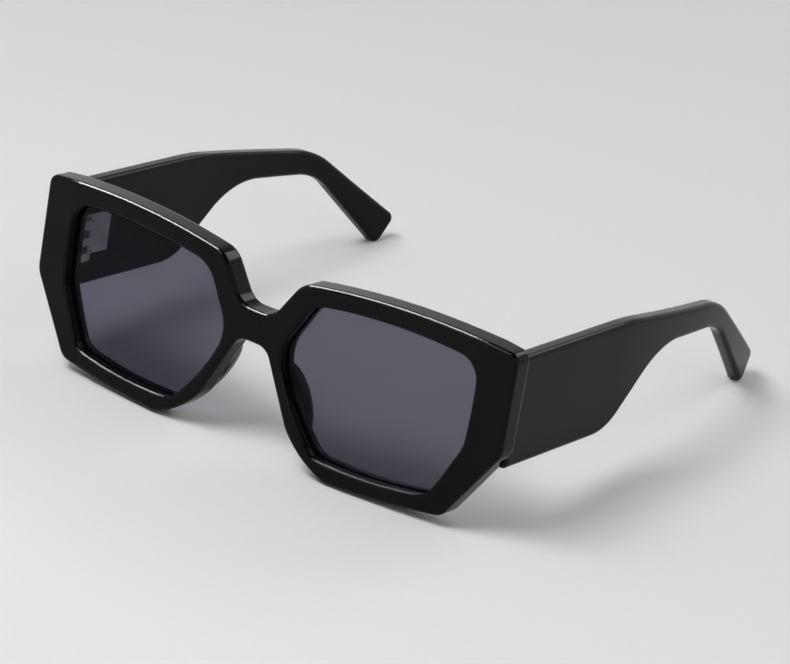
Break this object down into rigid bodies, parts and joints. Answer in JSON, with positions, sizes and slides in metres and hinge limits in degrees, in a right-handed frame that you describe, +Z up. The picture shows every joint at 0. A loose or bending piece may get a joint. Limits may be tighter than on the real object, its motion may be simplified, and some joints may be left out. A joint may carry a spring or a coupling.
{
  "type": "oversized sunglasses",
  "caption": "Thick glossy sunglasses with large angular tinted lenses, a notched bridge, deep flat temples that slim towards the ear, and folding barrel hinges.",
  "frame": {"origin": "middle of the bounding box's bottom face, on the table that the open pair stands on", "axes": "+X across the front towards the wearer's left, +Y backwards from the lenses to the ears, +Z up; the pair stands open on its rims and temple tips, so the front leans back by about five degrees"},
  "size_m": [0.147, 0.1448, 0.0509],
  "materials": {
    "frame_acetate": "polished black acetate",
    "temple_acetate": "polished black acetate",
    "lens_tint": "dark grey tint, polished",
    "core_steel": "flat wire core",
    "hinge_steel": "satin nickel silver"
  },
  "bodies": {
    "front": {"front_frame": "frame_acetate", "lens_left": "lens_tint", "lens_right": "lens_tint", "nose_pad_left": "frame_acetate", "nose_pad_right": "frame_acetate", "front_hinge_left": "hinge_steel", "front_hinge_right": "hinge_steel", "hinge_screw_left": "hinge_steel", "hinge_screw_right": "hinge_steel"},
    "temple_left": {"temple_left": "temple_acetate", "temple_core_left": "core_steel", "temple_hinge_left": "hinge_steel", "hinge_rivet_front_left": "hinge_steel", "hinge_rivet_rear_left": "hinge_steel"},
    "temple_right": {"temple_right": "temple_acetate", "temple_core_right": "core_steel", "temple_hinge_right": "hinge_steel", "hinge_rivet_front_right": "hinge_steel", "hinge_rivet_rear_right": "hinge_steel"}
  },
  "joints": [
    {"name": "temple_left_fold", "type": "hinge", "parent": "front", "child": "temple_left", "pos_m": [0.0659, -0.05721, 0.03112], "axis": [0, 0.0821, 0.9966], "range_deg": [0, 87.7]},
    {"name": "temple_right_fold", "type": "hinge", "parent": "front", "child": "temple_right", "pos_m": [-0.0659, -0.05721, 0.03112], "axis": [0, -0.0821, -0.9966], "range_deg": [0, 64]}
  ]
}
